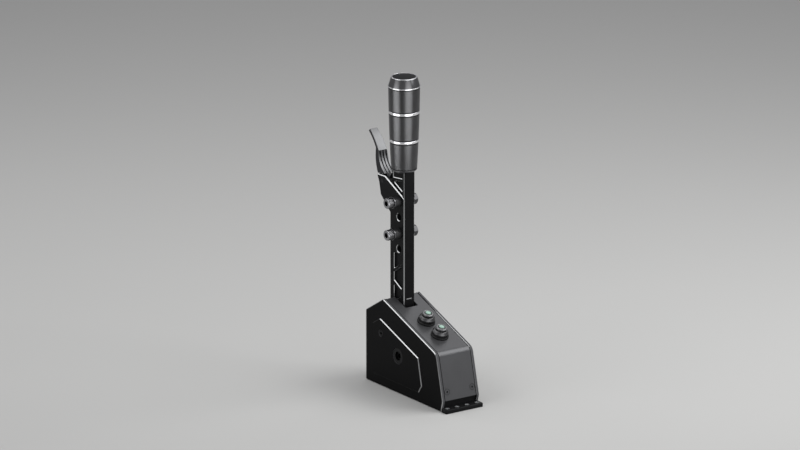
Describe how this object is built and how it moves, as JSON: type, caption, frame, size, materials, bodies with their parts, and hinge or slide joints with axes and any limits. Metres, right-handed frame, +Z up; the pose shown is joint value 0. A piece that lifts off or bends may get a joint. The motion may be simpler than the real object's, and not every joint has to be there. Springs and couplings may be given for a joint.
{
  "type": "sim racing gear shifter",
  "caption": "Sequential gear shifter with a knurled grip, a pull trigger, a pocketed lever and push buttons on a low sloped housing.",
  "frame": {"origin": "on the underside of the base plate, on the centre plane, straight below the grip's axis at rest", "axes": "+X to the right seen from the driver, +Y to the rear away from the driver, +Z up along the grip"},
  "size_m": [0.0564, 0.1939, 0.3878],
  "materials": {
    "plate_black": "satin black anodised",
    "base_black": "matt black",
    "cover_grey": "satin dark grey",
    "block_black": "matt black",
    "dark_steel": "blackened",
    "bright_steel": "bright",
    "bronze": "plain",
    "plain_aluminium": "turned",
    "black_rubber": "matt",
    "lever_black": "black anodised with bright cut edges",
    "bolt_steel": "dark polished",
    "spacer_black": "satin black",
    "trigger_grey": "bead blasted",
    "grip_dark": "dark turned",
    "grip_knurl": "dark diamond knurl",
    "grip_chrome": "polished",
    "crown_chrome": "dark polished",
    "cap_black": "black",
    "button_metal": "turned, dark skirt",
    "button_silver": "satin",
    "lens_green": "pale green lit lens",
    "board_green": "circuit board",
    "chip_black": "moulded"
  },
  "bodies": {
    "base": {"base_plate": "base_black", "base_screws": "dark_steel", "board_screws": "bright_steel", "board_standoffs": "bronze", "button_body_lower": "button_metal", "button_body_upper": "button_metal", "button_nut_lower": "bright_steel", "button_nut_upper": "bright_steel", "button_switch_lower": "chip_black", "button_switch_upper": "chip_black", "cable_socket": "bright_steel", "centring_spring_front": "bright_steel", "centring_spring_rear": "bright_steel", "front_block": "block_black", "front_screws": "dark_steel", "guide_nut": "bright_steel", "guide_rod": "bright_steel", "main_board": "board_green", "pivot_screws": "dark_steel", "pivot_shaft": "bright_steel", "pivot_spacers": "plain_aluminium", "position_sensor": "chip_black", "rear_cover": "cover_grey", "rear_screws": "dark_steel", "side_plate_left": "plate_black", "side_plate_right": "plate_black", "spring_block_front": "block_black", "spring_block_rear": "block_black", "stop_shaft": "dark_steel", "stop_shaft_cap": "dark_steel", "stop_sleeve": "black_rubber", "top_cover": "cover_grey"},
    "lever": {"clamp_bolts": "bolt_steel", "clamp_nuts": "bolt_steel", "clamp_spacers": "spacer_black", "clamp_washers": "bolt_steel", "grip_cap": "cap_black", "grip_collar": "grip_dark", "grip_crown": "crown_chrome", "grip_ring_lower": "grip_chrome", "grip_ring_upper": "grip_chrome", "grip_screw": "dark_steel", "grip_sleeve_lower": "grip_knurl", "grip_sleeve_middle": "grip_knurl", "grip_sleeve_upper": "grip_knurl", "handle_bracket": "lever_black", "lever_beam": "lever_black", "lever_magnet": "bright_steel", "pivot_bushes": "bronze", "trigger_pin": "bright_steel", "trigger_spring": "bright_steel"},
    "trigger": {"trigger": "trigger_grey"},
    "button_upper": {"button_cap_upper": "button_silver", "button_lens_upper": "lens_green"},
    "button_lower": {"button_cap_lower": "button_silver", "button_lens_lower": "lens_green"}
  },
  "joints": [
    {"name": "lever_shift", "type": "hinge", "parent": "base", "child": "lever", "pos_m": [0, 0.0088, 0.067], "axis": [1, 0, 0], "range_deg": [-5, 5], "stiffness_Nm_per_rad": 30, "deforming": ["centring_spring_rear", "centring_spring_front"]},
    {"name": "trigger_pull", "type": "hinge", "parent": "lever", "child": "trigger", "pos_m": [0, 0.0355, 0.2495], "axis": [1, 0, 0], "range_deg": [0, 12], "stiffness_Nm_per_rad": 0.4, "springref_deg": -20.05, "deforming": ["trigger_spring"]},
    {"name": "button_upper_press", "type": "slide", "parent": "base", "child": "button_upper", "axis": [0, 0.3453, -0.9385], "range_m": [0, 0.0012], "stiffness_N_per_m": 1200, "springref_m": -0.0008},
    {"name": "button_lower_press", "type": "slide", "parent": "base", "child": "button_lower", "axis": [0, 0.3453, -0.9385], "range_m": [0, 0.0012], "stiffness_N_per_m": 1200, "springref_m": -0.0008}
  ]
}
